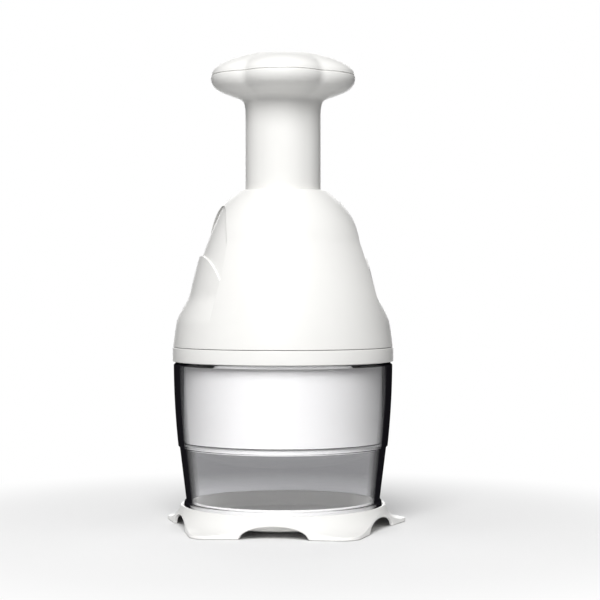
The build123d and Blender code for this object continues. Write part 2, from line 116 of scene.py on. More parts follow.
# %% Rounded outlines
def rounded(corners, steps=4):
    """Closed outline from (radius, height, rounding) corners.

    Each rounding is a short smooth curve, which takes up no more than half of an edge.
    """
    points = []
    count = len(corners)
    most = 0.49
    for index, (r, z, rounding) in enumerate(corners):
        here = Vector((r, z))
        if rounding <= 0:
            points.append(here)
            continue
        before = Vector(corners[index - 1][:2])
        after = Vector(corners[(index + 1) % count][:2])
        start = here + (before - here).normalized() * min(rounding, (before - here).length * most)
        end = here + (after - here).normalized() * min(rounding, (after - here).length * most)
        for step in range(steps + 1):
            t = step / steps
            points.append(start * (1 - t) ** 2 + here * (2 * t * (1 - t)) + end * t ** 2)
    return points


def bow(start, end, rise, steps):
    """Corners from start to end on a shallow bow that rises to the right of its chord."""
    start, end = Vector(start), Vector(end)
    run = end - start
    side = Vector((run.y, -run.x)).normalized()
    return [(*(start + run * (i / steps) + side * (4 * rise * (i / steps) * (1 - i / steps))), 0)
            for i in range(steps + 1)]


# %% [markdown]
# A few curves are neither straight nor a simple bow. They run smoothly through a handful of stations, by
# the Catmull-Rom rule: at each station the curve heads from the one before to the one after.


# %% Smooth curve through stations
def smooth(stations, steps=6):
    """Corners along a smooth curve through (radius, height) stations."""
    line = [Vector(station) for station in stations]
    line = [2 * line[0] - line[1]] + line + [2 * line[-1] - line[-2]]
    points = []
    for a, b, c, d in zip(line, line[1:], line[2:], line[3:]):
        for step in range(steps):
            t = step / steps
            place = 0.5 * (2 * b + (c - a) * t + (2 * a - 5 * b + 4 * c - d) * t ** 2
                           + (3 * b - a - 3 * c + d) * t ** 3)
            points.append((*place, 0))
    return points + [(*line[-2], 0)]


# %% [markdown]
# The rings themselves are made with BMesh. A point on the axis becomes one shared vertex, so that a dome
# closes without a hole, and every other point becomes a ring. The optional shape function moves a point
# as its ring goes round, which is how the lobes are made later.


# %% Rings of vertices
AROUND = 240


def evenly(count):
    """Angles in even steps round a full turn."""
    return [2 * pi * step / count for step in range(count)]


def spin(name, outline, shape=None, angles=evenly(AROUND), closed=True):
    """Mesh object turned about Z from an outline in millimetres."""
    mesh = bmesh.new()
    around = len(angles)
    rings = []
    for index, (r, z) in enumerate(outline):
        if r == 0:
            rings.append([mesh.verts.new((0, 0, z * MM))])
            continue
        ring = []
        for angle in angles:
            radius, height = shape(index, r, z, angle) if shape else (r, z)
            ring.append(mesh.verts.new((radius * cos(angle) * MM, radius * sin(angle) * MM, height * MM)))
        rings.append(ring)
    pairs = list(zip(rings, rings[1:]))
    if closed and len(rings[0]) > 1 and len(rings[-1]) > 1:
        pairs.append((rings[-1], rings[0]))
    for lower, upper in pairs:
        if len(lower) == 1 and len(upper) == 1:
            continue
        for step in range(around):
            following = (step + 1) % around
            if len(lower) == 1:
                mesh.faces.new((lower[0], upper[following], upper[step]))
            elif len(upper) == 1:
                mesh.faces.new((lower[step], lower[following], upper[0]))
            else:
                mesh.faces.new((lower[step], lower[following], upper[following], upper[step]))
    return as_object(name, mesh)


def as_object(name, mesh):
    """Scene object from a BMesh, with its faces turned outward and smoothed except at real edges."""
    bmesh.ops.recalc_face_normals(mesh, faces=mesh.faces)
    data = bpy.data.meshes.new(name)
    mesh.to_mesh(data)
    mesh.free()
    piece = bpy.data.objects.new(name, data)
    bpy.context.scene.collection.objects.link(piece)
    data.shade_smooth()
    data.set_sharp_from_angle(angle=SHARP_ANGLE)
    print(name, "has", len(data.polygons), "faces")
    return piece


def fit(piece, body, slot, material, *replaced):
    """Set a new piece on its body in place of CAD pieces, with its finish."""
    piece.data.materials.clear()
    piece.data.materials.append(material)
    if replaced:
        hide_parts(*replaced)
    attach(piece, body)


# %% [markdown]
# ## White moulded plastic
#
# The skin is polypropylene: a warm white, satin rather than glossy, with a very faint unevenness where
# the melt flowed and a fine grain from the mould. Principled BSDF takes the colour and the roughness.
# One slow noise shifts the white by a hair, and a much finer one gives the bump its grain. Both use
# object coordinates, so the grain has the same size on every piece.


# %% Noise helper and white plastic
def noise(tree, scale, detail=3.0, roughness=0.55):
    """Noise in object space; the scale is in waves per metre."""
    place = tree.nodes.new("ShaderNodeTexCoord")
    texture = tree.nodes.new("ShaderNodeTexNoise")
    texture.inputs["Scale"].default_value = scale
    texture.inputs["Detail"].default_value = detail
    texture.inputs["Roughness"].default_value = roughness
    tree.links.new(place.outputs["Object"], texture.inputs["Vector"])
    return texture.outputs["Fac"]


def ramp(tree, source, low, high):
    """Colour that goes from low to high as the source goes from 0.3 to 0.7."""
    blend = tree.nodes.new("ShaderNodeValToRGB")
    blend.color_ramp.elements[0].position = 0.3
    blend.color_ramp.elements[1].position = 0.7
    blend.color_ramp.elements[0].color = (*low, 1)
    blend.color_ramp.elements[1].color = (*high, 1)
    tree.links.new(source, blend.inputs["Fac"])
    return blend.outputs["Color"]


def bumped(tree, shader, source, distance, strength=1.0):
    """Fine relief on a shader, its distance in millimetres."""
    bump = tree.nodes.new("ShaderNodeBump")
    bump.inputs["Strength"].default_value = strength
    bump.inputs["Distance"].default_value = distance * MM
    tree.links.new(source, bump.inputs["Height"])
    tree.links.new(bump.outputs["Normal"], shader.inputs["Normal"])


def finish_material(name):
    """New material with its node tree and its Principled shader."""
    material = bpy.data.materials.new(name)
    material.use_nodes = True
    return material, material.node_tree, material.node_tree.nodes["Principled BSDF"]


FLOW_WAVES = 28
GRAIN_WAVES = 2600
PLASTIC_INDEX = 1.49


def moulded(name, dark, light, roughness, grain=0.012):
    """Moulded plastic between two close colours, with the mould's grain."""
    material, tree, shader = finish_material(name)
    tree.links.new(ramp(tree, noise(tree, FLOW_WAVES), dark, light), shader.inputs["Base Color"])
    shader.inputs["Roughness"].default_value = roughness
    shader.inputs["IOR"].default_value = PLASTIC_INDEX
    bumped(tree, shader, noise(tree, GRAIN_WAVES, 2.0), grain)
    return material


white_plastic = moulded("white_moulding", (0.84, 0.835, 0.815), (0.87, 0.865, 0.845), 0.34)
print("white plastic ready")

# %% [markdown]
# ## The palm knob
#
# The knob is a shallow dome with five soft lobes, split along a seam into a cap and a lower half. It
# could be sculpted, but its shape is simple to state: seen from above it is five large arcs joined by
# five small hollows. The first function gives that outline's radius at any angle. The rings then follow
# it fully at the rim and less and less towards the middle, where the dome is round.


# %% The lobed outline
LOBES = 5
LOBE_TIP = 36.1
LOBE_ROUND = 22.0
VALLEY_ROUND = 7.0
FIRST_LOBE = radians(185)
ROUND_UP_TO = 17
LOBED_FROM = 31


def lobed_radius(angle, tip=LOBE_TIP, lobe=LOBE_ROUND, valley=VALLEY_ROUND, first=FIRST_LOBE):
    """Radius of an outline of lobe arcs and tangent hollows, with one lobe at the first angle."""
    half = pi / LOBES
    turn = abs((angle - first + half) % (2 * half) - half)
    lobe_centre = tip - lobe
    reach = lobe + valley
    hollow_centre = lobe_centre * cos(half) + sqrt(reach ** 2 - (lobe_centre * sin(half)) ** 2)
    touch_x = lobe_centre + lobe / reach * (hollow_centre * cos(half) - lobe_centre)
    touch_y = lobe / reach * hollow_centre * sin(half)
    if turn < atan2(touch_y, touch_x):
        return lobe_centre * cos(turn) + sqrt(lobe ** 2 - (lobe_centre * sin(turn)) ** 2)
    off = half - turn
    return hollow_centre * cos(off) - sqrt(valley ** 2 - (hollow_centre * sin(off)) ** 2)


def lobed(weights):
    """Shape function that draws each ring in by its share of the outline's hollows."""
    def shape(index, r, z, angle):
        return r + weights(r, z) * (lobed_radius(angle) - LOBE_TIP), z
    return shape


def rim_share(r, z):
    """How far a ring follows the lobes: not at all near the axis, fully at the rim."""
    share = min(max((r - ROUND_UP_TO) / (LOBED_FROM - ROUND_UP_TO), 0), 1)
    return share * share * (3 - 2 * share)


print("radius in a hollow", round(lobed_radius(FIRST_LOBE + pi / LOBES), 2))

# %% [markdown]
# The cap's outline starts at the top of the dome, comes down in a full, slightly flattened ellipse to
# the seam and goes back along the hollow inside. The seam is a real groove: the cap's edge is drawn in
# by half a millimetre just above it, which is what makes the thin dark line round a moulded knob.

# %% Cap of the knob
cap_height = knob_top - seam_z
cap_r = LOBE_TIP - 0.1
groove_r = cap_r - 0.5
groove_top = seam_z + 0.3
cap_inner_r = 32.3
CAP_RINGS = 30
FLATTENING = 0.12


def cap_radius(share):
    """Radius of the cap at a share of its height: an ellipse, a little flatter near the top."""
    return cap_r * (1 - share ** 2) ** (0.5 + FLATTENING * share)


cap_outline = [(0, knob_top)]
for step in range(1, CAP_RINGS - 1):
    share = cos(pi / 2 * step / CAP_RINGS)
    cap_outline.append((cap_radius(share), seam_z + cap_height * share))
cap_outline += rounded([
    (cap_r, groove_top + 0.15, 0.2), (groove_r, groove_top, 0), (groove_r, seam_z, 0),
    (cap_inner_r, seam_z, 0), (cap_inner_r, seam_z + 4, 2),
])
cap_outline += [(26, seam_z + 5.6), (0, seam_z + 8)]
cap = spin("knob_cap_skin", cap_outline, lobed(rim_share), closed=False)
fit(cap, "plunger", "white_plastic", white_plastic, "knob_cap")

# %% [markdown]
# ## The plunger
#
# Below the seam the knob turns under in a large soft curve, narrows into the plunger's tube and goes
# down through the bell's neck to a flange that stops it. One outline holds all of it, with the web
# inside that presses on the spindle. Only the rings outside the tube follow the lobes.

# %% Lower half of the knob, tube and web
shaft_r = 18.7
bore_r = shaft_r - 2.0
flange_r = shaft_r + 2.1
flange_top = tube_z + 3
boss_r = 6.5
journal_r = 3.1
web_z = seam_z - 14.8
web_top = web_z + 3
hollow_z = seam_z - 5
hollow_r = 33.3
joint_z = seam_z - 0.05
turn_under = smooth([
    (LOBE_TIP + 0.15, seam_z - 0.6), (LOBE_TIP + 0.1, seam_z - 2.2), (35.6, seam_z - 4), (34.2, seam_z - 5.9),
    (31.4, seam_z - 7.7), (26.4, seam_z - 9.5), (22.3, seam_z - 10.7), (19.9, seam_z - 12.3),
    (19.0, seam_z - 15), (shaft_r, seam_z - 18.5),
])
plunger_corners = [(cap_r, joint_z, 0.2)] + turn_under + [
    (shaft_r, flange_top, 0), (flange_r, flange_top, 0.3), (flange_r, tube_z, 0.4),
    (bore_r, tube_z, 0.3), (bore_r, web_z, 0), (boss_r, web_z, 0), (boss_r, web_z - 4, 0.3),
    (journal_r, web_z - 4, 0), (journal_r, web_z + 6, 0), (boss_r, web_z + 6, 0.3), (boss_r, web_top, 0),
    (bore_r, web_top, 0), (bore_r, hollow_z, 0), (hollow_r, hollow_z, 0.6), (hollow_r, joint_z, 0.2),
]
plunger = spin("plunger_skin", rounded(plunger_corners, steps=8), lobed(rim_share))
fit(plunger, "plunger", "white_plastic", white_plastic, "plunger_tube")

# %% [markdown]
# ## The bell
#
# The bell is the largest form: a bulging side that rounds over to the neck. On two sides it is cut back
# inside a tall arch, so that fingers can hold it. The cut has two levels. The floor is a steep slope
# that fades out at the top of the arch. Lower down a rounded pad stands up from it, and below the pad a
# short ramp runs out to the bell's side. The plain bell is turned, then a Boolean takes the two recesses
# out of it. That gives the crisp edge of the real moulding, which a displaced grid would smear.

# %% Plain bell
bell_base_r = outer_radius("bell_housing")
lip_r = bell_base_r - 2.4
shoulder_r = 40.4
shoulder_z = bell_top - 25.6
crown_r = 24.0
crown_z = bell_top - 1.6
SIDE_BULGE = 2.2
ARCH_HEIGHT = 50.0
ARCH_HALF_WIDTH = 30.5
PAD_HEIGHT = 26.0
PAD_HALF_WIDTH = 29.2
recess_z = bell_top - 8.4 - ARCH_HEIGHT
ramp_z = recess_z + 5.4
ramp_r = bell_base_r - 7.9
RAMP_SLOPE = 0.70
RAMP_BEND = 0.014
floor_top_r = 30.0
FLOOR_BOW = 0.0022
PAD_STEP = 1.4
PAD_PROUD = 0.04
WALL = 2.3
neck_bore = shaft_r + 0.1
neck_r = neck_bore + WALL
neck_z = tube_z + 5.6
NECK_TOP_R = 22.3
roof_z = bell_top - 8
lip_in = lip_r - 1.8


def floor_radius(z):
    """Radius of the crescent's floor: a slightly bowed slope, and a ramp that bends into the side."""
    if z < ramp_z:
        return ramp_r + (RAMP_SLOPE - RAMP_BEND * (ramp_z - z)) * (ramp_z - z)
    run = recess_z + ARCH_HEIGHT - ramp_z
    down = recess_z + ARCH_HEIGHT - z
    return floor_top_r + (ramp_r - floor_top_r) * down / run + FLOOR_BOW * down * (run - down)


def pad_radius(z):
    """Radius of the pad, proud of the floor at its top and level with it at the ramp."""
    risen = max(z - ramp_z, 0) / (recess_z + PAD_HEIGHT - ramp_z)
    return floor_radius(z) + PAD_PROUD + PAD_STEP * risen


def bell_skin_corners():
    """Outside of the bell from its foot to its neck."""
    side = bow((bell_base_r, bell_z), (shoulder_r, shoulder_z), SIDE_BULGE, 24)
    upper = bow((shoulder_r, shoulder_z), (crown_r, crown_z), SIDE_BULGE, 16)
    return [(*side[0][:2], 0.25)] + side[1:] + upper[1:]


def inside_radius(r, z):
    """Inner wall: the outer one set in by the wall, and set in again behind the recesses."""
    return min(r, floor_radius(z)) - WALL


bell_corners = bell_skin_corners()
inner_corners = [(inside_radius(r, z), z, 0) for r, z, _ in bell_corners[3:] if z < roof_z - 2]
neck_corners = [
    (NECK_TOP_R, bell_top, 1.1), (neck_bore, bell_top, 0.5), (neck_bore, neck_z, 0.3), (neck_r, neck_z, 0.3),
    (neck_r, roof_z, 1.5), (inner_corners[-1][0] - 1, roof_z, 1.5),
]
lip_corners = [
    (lip_in, bell_z + 2, 0), (lip_in, bell_lip_z, 0.2), (lip_r, bell_lip_z, 0.3), (lip_r, bell_z, 0.15),
]
bell_outline = rounded(bell_corners + neck_corners + inner_corners[::-1] + lip_corners, steps=6)
bell = spin("bell_skin", bell_outline, angles=evenly(288))

# %% [markdown]
# The cutter for a recess is a sheet of points on the pad and on the crescent's floor, with the step of
# the pad's edge between them. A second sheet with the same points stands well outside the bell, and a
# border joins the two into a closed body.


# %% Cutting the recesses
PAD_ROWS = 10
CRESCENT_ROWS = 12
FOOT_DROP = 6
FOOT_BULGE = 4
ARCH_LIFT = 0.8
CUTTER_REACH = 62


def recess_stations(angle):
    """Points (y, z, radius) from the recess's foot over the pad and its step to the arch."""
    foot = Vector((cos(angle) * ARCH_HALF_WIDTH, recess_z - FOOT_DROP - FOOT_BULGE * sin(angle)))
    pad_half = PAD_HALF_WIDTH + (ARCH_HALF_WIDTH - PAD_HALF_WIDTH) * cos(angle) ** 8
    edge = Vector((cos(angle) * pad_half, recess_z + PAD_HEIGHT * sin(angle)))
    top = Vector((cos(angle) * ARCH_HALF_WIDTH, recess_z + ARCH_LIFT + ARCH_HEIGHT * sin(angle)))
    pad = [foot.lerp(edge, j / PAD_ROWS) for j in range(PAD_ROWS + 1)]
    crescent = [edge.lerp(top, j / CRESCENT_ROWS) for j in range(CRESCENT_ROWS + 1)]
    return [(y, z, pad_radius(z)) for y, z in pad] + [(y, z, floor_radius(z)) for y, z in crescent]


def recess_cutter(side, along=96):
    """Closed mesh of the space taken out for the recess on +X or -X."""
    mesh = bmesh.new()
    floor_rows, outer_rows = [], []
    for i in range(along + 1):
        stations = recess_stations(pi * i / along)
        inner = [(side * sqrt(r * r - y * y) * MM, y * MM, z * MM) for y, z, r in stations]
        outer = [(side * CUTTER_REACH * MM, y * MM, z * MM) for y, z, _ in stations]
        floor_rows.append([mesh.verts.new(place) for place in inner])
        outer_rows.append([mesh.verts.new(place) for place in outer])
    for rows in (floor_rows, outer_rows):
        for a, b in zip(rows, rows[1:]):
            for j in range(len(a) - 1):
                if rows is floor_rows or j != PAD_ROWS:
                    mesh.faces.new((a[j], a[j + 1], b[j + 1], b[j]))
    bmesh.ops.remove_doubles(mesh, verts=[v for row in outer_rows for v in row], dist=0.001 * MM)
    rims = [edge for edge in mesh.edges if len(edge.link_faces) == 1]
    bmesh.ops.bridge_loops(mesh, edges=rims)
    return as_object("recess_cutter", mesh)


def cut_away(piece, cutter):
    """Take the cutter's shape out of a piece for good, and drop the cutter."""
    modifier = piece.modifiers.new("cut", "BOOLEAN")
    modifier.operation = "DIFFERENCE"
    modifier.solver = "EXACT"
    modifier.object = cutter
    settle(piece)
    bpy.data.objects.remove(cutter)


def settle(piece):
    """Apply every modifier of a piece to its mesh."""
    graph = bpy.context.evaluated_depsgraph_get()
    done = bpy.data.meshes.new_from_object(piece.evaluated_get(graph))
    piece.modifiers.clear()
    piece.data = done


for side in (1, -1):
    cut_away(bell, recess_cutter(side))
print("bell after cutting:", len(bell.data.polygons), "faces")

# %% [markdown]
# A moulded edge is never sharp. The edges that the cut left are found by their angle and given a small
# round of half a millimetre, wide enough to catch a line of light.

# %% Softening the cut edges
SOFT_ROUND = 0.5
SOFT_FROM = radians(32)
MERGE = 0.02


def soften(piece, width, chosen):
    """Small rounds along those sharp edges of a piece for which the chosen function says yes."""
    mesh = bmesh.new()
    mesh.from_mesh(piece.data)
    bmesh.ops.remove_doubles(mesh, verts=mesh.verts, dist=MERGE * MM)
    sharp = [e for e in mesh.edges if len(e.link_faces) == 2 and e.calc_face_angle(0) > SOFT_FROM]
    edges = [e for e in sharp if chosen(e)]
    bmesh.ops.bevel(
        mesh, geom=edges, offset=width * MM, segments=2, affect="EDGES", clamp_overlap=True)
    bmesh.ops.recalc_face_normals(mesh, faces=mesh.faces)
    mesh.to_mesh(piece.data)
    mesh.free()
    piece.data.shade_smooth()
    piece.data.set_sharp_from_angle(angle=SHARP_ANGLE)
    print(piece.name, "softened along", len(edges), "edges")


def on_recess(edge):
    """True for an edge round a recess, on the outside of the bell."""
    middle = (edge.verts[0].co + edge.verts[1].co) / 2 / MM
    at_height = recess_z + 4 < middle.z < recess_z + ARCH_HEIGHT + 1
    within_width = abs(middle.y) < ARCH_HALF_WIDTH + 1
    outside = hypot(middle.x, middle.y) > floor_radius(middle.z) - 0.6
    return at_height and within_width and outside


soften(bell, SOFT_ROUND, on_recess)

# %% [markdown]
# Inside the bell four posts take the screws that hold the mechanism's frame. Nobody sees them until the
# bell is lifted off, but a screw that ends in the air is a mistake. Each is a short tube, open below.

# %% Screw posts inside the bell
POST_ANGLES = (55, 125, 235, 305)
POST_SIDES = 24
POST_RADIUS = 4
PILOT_RADIUS = 1.55
PILOT_DEPTH = 12.5


def add_posts(piece, circle, foot, top):
    """Four posts with blind holes, joined to a piece's mesh."""
    mesh = bmesh.new()
    mesh.from_mesh(piece.data)
    levels = (
        (POST_RADIUS, top), (POST_RADIUS, foot), (PILOT_RADIUS, foot), (PILOT_RADIUS, foot + PILOT_DEPTH),
    )
    for bearing in POST_ANGLES:
        axis = Vector((cos(radians(bearing)), sin(radians(bearing)))) * circle
        rings = []
        for r, z in levels:
            places = [(axis.x + r * cos(a), axis.y + r * sin(a)) for a in evenly(POST_SIDES)]
            rings.append([mesh.verts.new((x * MM, y * MM, z * MM)) for x, y in places])
        faces = [mesh.faces.new(rings[0]), mesh.faces.new(rings[-1])]
        for a, b in zip(rings, rings[1:]):
            faces += [mesh.faces.new((a[k - 1], a[k], b[k], b[k - 1])) for k in range(POST_SIDES)]
        bmesh.ops.recalc_face_normals(mesh, faces=faces)
    mesh.to_mesh(piece.data)
    mesh.free()
    piece.data.set_sharp_from_angle(angle=SHARP_ANGLE)


post_circle = lip_r - 10
post_foot = low_z("mechanism_frame") + 4
post_top = max(z for r, z, _ in bell_corners if r > post_circle + POST_RADIUS + 0.5)
add_posts(bell, post_circle, post_foot, post_top)
print("posts", round(post_circle, 1), "mm out, up to", round(post_top, 1))
fit(bell, "housing", "white_plastic", white_plastic, "bell_housing")

# %% [markdown]
# ## Band and sleeve
#
# Between the bell and the clear container runs a plain band. It is one moulding with the sleeve that
# hangs inside the container and keeps fingers off the blades, so both are one outline. The ring that
# holds the wiper is pushed into the sleeve's end and shows as a brighter white stripe.

# %% Band, sleeve and wiper ring
band_r = outer_radius("blade_guard")
sleeve_r = outer_radius("wiper_ring") + 1.2
sleeve_in = sleeve_r - 2
sleeve_z = low_z("blade_guard")
band_z = rim_z + GAP
spigot_r = lip_r + 0.1
wiper_r = outer_radius("wiper_disc")
stop_r = wiper_r - 1
stop_z = high_z("wiper_disc") + GAP
stop_top = stop_z + 1.2
guard = spin("guard_skin", rounded([
    (sleeve_in, sleeve_z, 0.2), (sleeve_r, sleeve_z, 0.3), (sleeve_r, band_z, 0.4), (band_r, band_z, 0.5),
    (band_r, band_top, 0.45), (spigot_r, band_top, 0.2), (spigot_r, bell_lip_z, 0.2),
    (sleeve_in, bell_lip_z, 0.4), (sleeve_in, stop_top, 0.2), (stop_r, stop_top, 0.3),
    (stop_r, stop_z, 0.2), (sleeve_in, stop_z, 0.1),
]))
fit(guard, "housing", "white_plastic", white_plastic, "blade_guard")

ring_r = outer_radius("wiper_ring")
ring_top = high_z("wiper_ring")
collar_r = sleeve_in - 0.1
collar_in = wiper_r + GAP
shelf_r = wiper_r - 2.3
shelf_z = low_z("wiper_disc") - GAP
ring = spin("wiper_ring_skin", rounded([
    (shelf_r, ring_z, 0.3), (ring_r, ring_z, 0.5), (ring_r, sleeve_z, 0.3), (collar_r, sleeve_z, 0.1),
    (collar_r, ring_top, 0.2), (collar_in, ring_top, 0.2), (collar_in, shelf_z, 0.1), (shelf_r, shelf_z, 0.2),
]))
fit(ring, "housing", "white_plastic", white_plastic, "wiper_ring")

# %% [markdown]
# ## The clear container
#
# The container is clear styrene: a tapered wall with a foot bead, a step where the inner ledge is, and a
# chamfered mouth. Clear plastic is only believable as a closed wall of real thickness, because its dark
# edges come from light that travels a long way inside the wall. So the outline has both faces. The
# material is full transmission at the index of styrene. Where the wall is seen edge on, a painted
# near-black shade is mixed in to darken those edges. Lamp light passes straight through it to the parts
# inside.

# %% Container and its clear material
foot_r = 48.9
foot_in = foot_r - 3
bead_z = container_z + 3.2
base_r = 47.9
waist_r = 51.9
mouth_r = outer_radius("clear_container")
ledge_z = sleeve_z
below_step = [
    (foot_in, container_z, 0.3), (foot_r, container_z, 0.6), (foot_r, bead_z, 0.6),
    (base_r, bead_z + 0.2, 0.5), (waist_r - 0.7, ledge_z - 2.8, 0.3),
]
above_step = bow((waist_r, ledge_z - 2.4), (mouth_r, rim_z - 1.4), 0.5, 12)
mouth_and_inside = [
    (mouth_r - 1.4, rim_z, 0.4), (mouth_r - 2, rim_z, 0.3), (waist_r - 2, ledge_z, 0.2),
    (ring_r + GAP, ledge_z, 0.4),
]
container = spin(
    "container_skin", rounded(below_step + above_step + mouth_and_inside), angles=evenly(320))


def clear_styrene():
    """Clear plastic: full transmission, with painted near-black shade where the wall is seen edge on, open to
    lamp light.
    """
    material, tree, shader = finish_material("clear_styrene")
    shader.inputs["Base Color"].default_value = (0.93, 0.93, 0.95, 1)
    shader.inputs["Roughness"].default_value = 0.015
    shader.inputs["IOR"].default_value = 1.55
    shader.inputs["Transmission Weight"].default_value = 1.0
    facing = tree.nodes.new("ShaderNodeLayerWeight")
    facing.inputs["Blend"].default_value = 0.5
    edge_on = tree.nodes.new("ShaderNodeMapRange")
    edge_on.inputs["From Min"].default_value = 0.54
    edge_on.inputs["From Max"].default_value = 0.68
    # Painted shade: a near-black diffuse mixed in where the wall is seen edge on, to darken its edges.
    painted_edge_shade = tree.nodes.new("ShaderNodeBsdfDiffuse")
    painted_edge_shade.inputs["Color"].default_value = (0.012, 0.011, 0.014, 1)
    wall = tree.nodes.new("ShaderNodeMixShader")
    tree.links.new(facing.outputs["Facing"], edge_on.inputs["Value"])
    tree.links.new(edge_on.outputs["Result"], wall.inputs["Fac"])
    tree.links.new(shader.outputs["BSDF"], wall.inputs[1])
    tree.links.new(painted_edge_shade.outputs["BSDF"], wall.inputs[2])
    path = tree.nodes.new("ShaderNodeLightPath")
    bare = tree.nodes.new("ShaderNodeBsdfTransparent")
    bare.inputs["Color"].default_value = (0.98, 0.98, 0.985, 1)
    mix = tree.nodes.new("ShaderNodeMixShader")
    tree.links.new(path.outputs["Is Shadow Ray"], mix.inputs["Fac"])
    tree.links.new(wall.outputs["Shader"], mix.inputs[1])
    tree.links.new(bare.outputs["BSDF"], mix.inputs[2])
    tree.links.new(mix.outputs["Shader"], tree.nodes["Material Output"].inputs["Surface"])
    bumped(tree, shader, noise(tree, 60, 1.0), 0.02, 0.5)
    return material


fit(container, "container", "clear_plastic", clear_styrene(), "clear_container")

# %% [markdown]
# ## The chopping dish
#
# The dish closes the container from below and stands on five rounded feet. Its skirt flows from the lip
# round the container down to each foot, and between two feet it lifts off the table in a low arch. The
# skirt is one curve in section, cut off where it meets the plan outline. So each column of the mesh
# follows the same curve as far as the outline reaches at that angle, and then drops to the table or to
# the arch.

# %% Sizes of the dish
DISH_FLOOR = 5.0
DISH_SEAT = container_z
DISH_LIP = container_z + 1.6
dish_top = high_z("chopping_dish")
dish_lip_in = foot_r + GAP
lip_out = dish_lip_in + 1.5
toe_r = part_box("chopping_dish")[1].x / MM
TOE_HEIGHT = 1.6
FOOT_ROUND = 10.0
SIDE_ROUND = 420.0
FLARE_HOLLOW = 3.0
SKIRT_ARCH_HALF_WIDTH = 16.5
SKIRT_ARCH_HEIGHT = 6.0
SKIRT_WALL = 1.5
SKIRT_STEPS = 14
EDGE_STEPS = 4
ARCH_COLUMNS = 30
FOOT_COLUMNS = 36
SPREAD = 1.003


def foot_radius(angle):
    """Plan outline of the skirt: rounded feet with nearly straight sides between them."""
    return lobed_radius(angle, tip=toe_r, lobe=FOOT_ROUND, valley=SIDE_ROUND, first=0.0)


def flare(t):
    """Point of the skirt's curve, from the lip at 0 to the tip of a foot at 1."""
    start, end = Vector((lip_out, DISH_LIP)), Vector((toe_r, TOE_HEIGHT))
    run = end - start
    side = Vector((run.y, -run.x)).normalized()
    return start + run * t + side * (4 * FLARE_HOLLOW * t * (1 - t))


def flare_end(radius):
    """How far along the curve it reaches a radius."""
    low, high = 0.0, 1.0
    for _ in range(30):
        middle = (low + high) / 2
        low, high = (middle, high) if flare(middle).x < radius else (low, middle)
    return low


def arch_lift(angle):
    """Height of the skirt's lower edge above the table."""
    off = (angle % (2 * pi / LOBES)) - pi / LOBES
    across = foot_radius(angle) * sin(off)
    return SKIRT_ARCH_HEIGHT * sqrt(max(0.0, 1 - (across / SKIRT_ARCH_HALF_WIDTH) ** 2))


def dish_angles():
    """Angles round the dish, with columns set close where an arch springs from a foot.

    The columns of an arch spread a hair past its ends, so that both ends are cleanly on the table.
    """
    angles = []
    for lobe in range(LOBES):
        middle = 2 * pi * (lobe + 0.5) / LOBES
        edge = SPREAD * SKIRT_ARCH_HALF_WIDTH / foot_radius(middle)
        for step in range(ARCH_COLUMNS + 1):
            angles.append(middle + edge * sin(pi * (step / ARCH_COLUMNS - 0.5)))
        gap = 2 * pi / LOBES - 2 * edge
        angles += [middle + edge + gap * step / FOOT_COLUMNS for step in range(1, FOOT_COLUMNS)]
    return angles


print("skirt reaches", round(foot_radius(0), 1), "mm at a foot")
print("and", round(foot_radius(pi / LOBES), 1), "mm between two feet")

# %% [markdown]
# The outline is a list of stations. The fixed ones are the same all round. The moving ones, on the skirt,
# are worked out for each angle by the shape function, so the list only keeps their places for them.

# %% The dish itself
bowl_out = foot_in - GAP
bowl_in = bowl_out - 1.8
ring_in, ring_out = 28, 30
under_floor = DISH_FLOOR - 2
under_seat = DISH_SEAT - 2
fixed_stations = rounded([
    (lip_out, DISH_LIP, 0.7), (dish_lip_in, DISH_LIP, 0.5), (dish_lip_in, DISH_SEAT, 0.3),
    (bowl_out, DISH_SEAT, 0.3), (bowl_out, dish_top, 0.6), (bowl_in, dish_top, 0.6),
    (bowl_in, DISH_FLOOR, 1.5), (0, DISH_FLOOR, 0), (0, under_floor, 0), (ring_in, under_floor, 0.3),
    (ring_in, 0, 0.3), (ring_out, 0, 0.3), (ring_out, under_floor, 0.3), (bowl_out, under_floor, 0.6),
    (bowl_out, under_seat, 0.4),
])[2:]
skirt_first = len(fixed_stations)
place_kept = (toe_r, TOE_HEIGHT)
dish_outline = fixed_stations + [place_kept] * (2 * SKIRT_STEPS + EDGE_STEPS + 1)
EDGE_WIDTH = 1.6
EDGE_ROUND = 0.35
EDGE_HEIGHT = 0.5
SHORT_OF_EDGE = 0.98


def dish_shape(index, r, z, angle):
    """Moves the skirt's stations to their place at one angle: underside, edge and then top."""
    k = index - skirt_first
    if k < 0:
        return r, z
    radius = foot_radius(angle)
    reach = flare_end(radius)
    lift = arch_lift(angle)
    if k < SKIRT_STEPS:
        point = flare(reach * k / SKIRT_STEPS) - Vector((SKIRT_WALL, SKIRT_WALL))
        return point.x, max(min(point.y, under_seat), lift + 0.02 * (SKIRT_STEPS - k))
    edge = [
        (radius - EDGE_WIDTH, lift), (radius - EDGE_ROUND, lift), (radius, lift + EDGE_ROUND),
        (radius, max(flare(reach).y - EDGE_HEIGHT, lift + EDGE_HEIGHT)),
    ]
    if k < SKIRT_STEPS + EDGE_STEPS:
        return edge[k - SKIRT_STEPS]
    steps_left = 2 * SKIRT_STEPS + EDGE_STEPS - k
    return tuple(flare(reach * SHORT_OF_EDGE * steps_left / SKIRT_STEPS))


dish = spin("dish_skin", dish_outline, dish_shape, angles=dish_angles())
fit(dish, "dish", "white_plastic", white_plastic, "chopping_dish")
